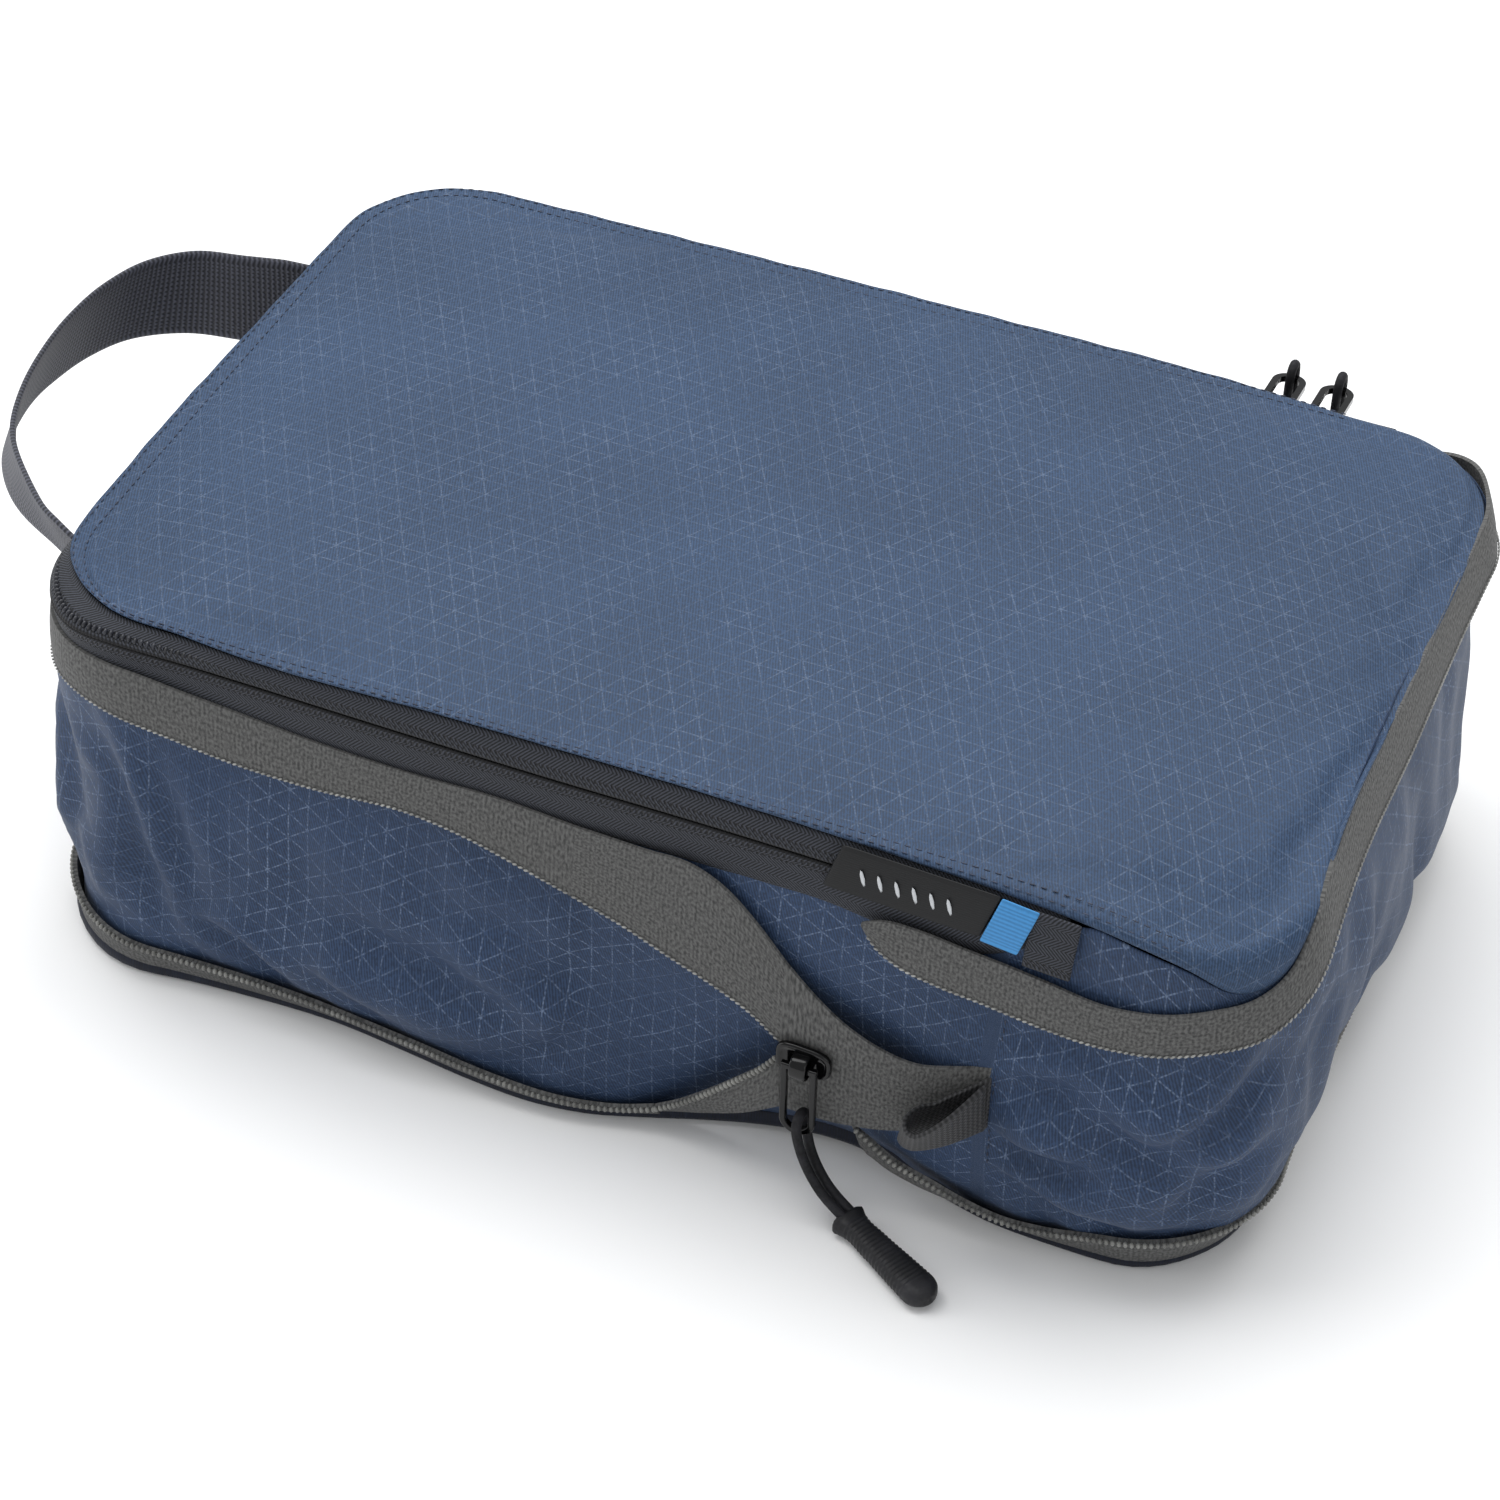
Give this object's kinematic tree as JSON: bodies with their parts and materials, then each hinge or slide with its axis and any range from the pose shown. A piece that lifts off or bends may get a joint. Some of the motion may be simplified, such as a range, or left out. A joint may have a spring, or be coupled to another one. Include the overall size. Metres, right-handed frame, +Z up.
{
  "type": "compression packing cube",
  "caption": "Soft rectangular packing cube with a zipped lid, a second zipper that squeezes the sides flat, and a webbing end handle.",
  "frame": {"origin": "centre of the base on the surface it stands on", "axes": "+X along the length, towards the end where the lid stays attached; -Y is the front; +Z up"},
  "size_m": [0.3273, 0.2336, 0.097],
  "materials": {
    "ripstop": "navy blue ripstop nylon with a fine light triangular grid and a faint satin sheen",
    "ripstop_top": "slate blue ripstop nylon with a fine light triangular grid",
    "base_cloth": "dark navy woven nylon",
    "grey_tape": "mid-grey knitted zipper tape",
    "grey_coil": "grey nylon coil",
    "dark_tape": "charcoal herringbone zipper tape",
    "dark_coil": "charcoal nylon coil",
    "webbing": "charcoal ribbed webbing",
    "grosgrain": "dark grey grosgrain ribbon",
    "woven_label": "black woven label with a sky-blue end and plain white woven marks",
    "black_enamel": "gloss black enamelled zinc",
    "black_cord": "black braided cord",
    "grip_rubber": "matt black ribbed rubber"
  },
  "bodies": {
    "base": {"base_panel": "base_cloth", "base_band": "base_cloth", "gusset_lower": "ripstop", "lower_tape": "grey_tape", "lower_coil": "grey_coil", "lower_tape_rise": "grey_tape"},
    "rim": {"gusset_upper": "ripstop", "upper_tape": "grey_tape", "upper_coil": "grey_coil", "upper_tape_drop": "grey_tape", "body_tape": "dark_tape", "body_coil": "dark_coil", "hinge_end_panel": "ripstop", "hinge_end_top": "ripstop_top", "zip_end_patches": "dark_tape", "handle_anchors": "webbing"},
    "lid": {"top_panel": "ripstop_top", "lid_tape": "dark_tape", "lid_coil": "dark_coil", "label": "woven_label"},
    "zip_start": {"joined_band": "grey_tape", "start_loop": "grosgrain"},
    "compression_slider_body": {"compression_slider": "black_enamel"},
    "compression_ring_body": {"compression_ring": "black_enamel"},
    "compression_pull": {"compression_cord": "black_cord", "compression_grip": "grip_rubber"},
    "main_slider_a_body": {"main_slider_a": "black_enamel"},
    "main_ring_a_body": {"main_ring_a": "black_enamel"},
    "main_pull_a": {"main_cord_a": "black_cord", "main_grip_a": "grip_rubber"},
    "main_slider_b_body": {"main_slider_b": "black_enamel"},
    "main_ring_b_body": {"main_ring_b": "black_enamel"},
    "main_pull_b": {"main_cord_b": "black_cord", "main_grip_b": "grip_rubber"},
    "handle_body": {"handle": "webbing"}
  },
  "joints": [
    {"name": "compress", "type": "slide", "parent": "base", "child": "rim", "axis": [0, 0, -1], "range_m": [0, 0.046], "deforming": ["upper_tape_drop", "lower_tape_rise"]},
    {"name": "zip_start_follow", "type": "slide", "parent": "base", "child": "zip_start", "axis": [0, 0, -1], "range_m": [0, 0.023]},
    {"name": "lid_hinge", "type": "hinge", "parent": "rim", "child": "lid", "pos_m": [0.11, 0, 0.0973], "axis": [0, 1, 0], "range_deg": [0, 170]},
    {"name": "handle_swing", "type": "hinge", "parent": "rim", "child": "handle_body", "pos_m": [-0.1428, 0, 0.0958], "axis": [0, 1, 0], "range_deg": [0, 80]},
    {"name": "compression_slider_travel", "type": "slide", "parent": "zip_start", "child": "compression_slider_body", "axis": [1, 0, 0], "range_m": [0, 0.016]},
    {"name": "compression_ring_swing", "type": "hinge", "parent": "compression_slider_body", "child": "compression_ring_body", "pos_m": [0.0442, -0.0995, 0.04], "axis": [-1, 0, 0], "range_deg": [0, 110]},
    {"name": "compression_pull_swing", "type": "hinge", "parent": "compression_ring_body", "child": "compression_pull", "pos_m": [0.0442, -0.0995, 0.0215], "axis": [-1, 0, 0], "range_deg": [0, 45]},
    {"name": "main_slider_a_travel", "type": "slide", "parent": "rim", "child": "main_slider_a_body", "axis": [-1, 0, 0], "range_m": [0, 0.18]},
    {"name": "main_slider_b_travel", "type": "slide", "parent": "rim", "child": "main_slider_b_body", "axis": [1, 0, 0], "range_m": [0, 0.006]},
    {"name": "main_ring_a_swing", "type": "hinge", "parent": "main_slider_a_body", "child": "main_ring_a_body", "pos_m": [0.081, 0.093, 0.08875], "axis": [1, 0, 0], "range_deg": [-55, 60]},
    {"name": "main_pull_a_swing", "type": "hinge", "parent": "main_ring_a_body", "child": "main_pull_a", "pos_m": [0.081, 0.11132, 0.08618], "axis": [1, 0, 0], "range_deg": [-80, 80]},
    {"name": "main_ring_b_swing", "type": "hinge", "parent": "main_slider_b_body", "child": "main_ring_b_body", "pos_m": [0.0925, 0.093, 0.08875], "axis": [1, 0, 0], "range_deg": [-55, 60]},
    {"name": "main_pull_b_swing", "type": "hinge", "parent": "main_ring_b_body", "child": "main_pull_b", "pos_m": [0.0925, 0.11132, 0.08618], "axis": [1, 0, 0], "range_deg": [-80, 80]}
  ],
  "couplings": [
    {"joint": "zip_start_follow", "follows": "compress", "ratio": 0.5},
    {"joint": "main_pull_a_swing", "follows": "main_ring_a_swing", "ratio": -1},
    {"joint": "main_pull_b_swing", "follows": "main_ring_b_swing", "ratio": -1}
  ]
}
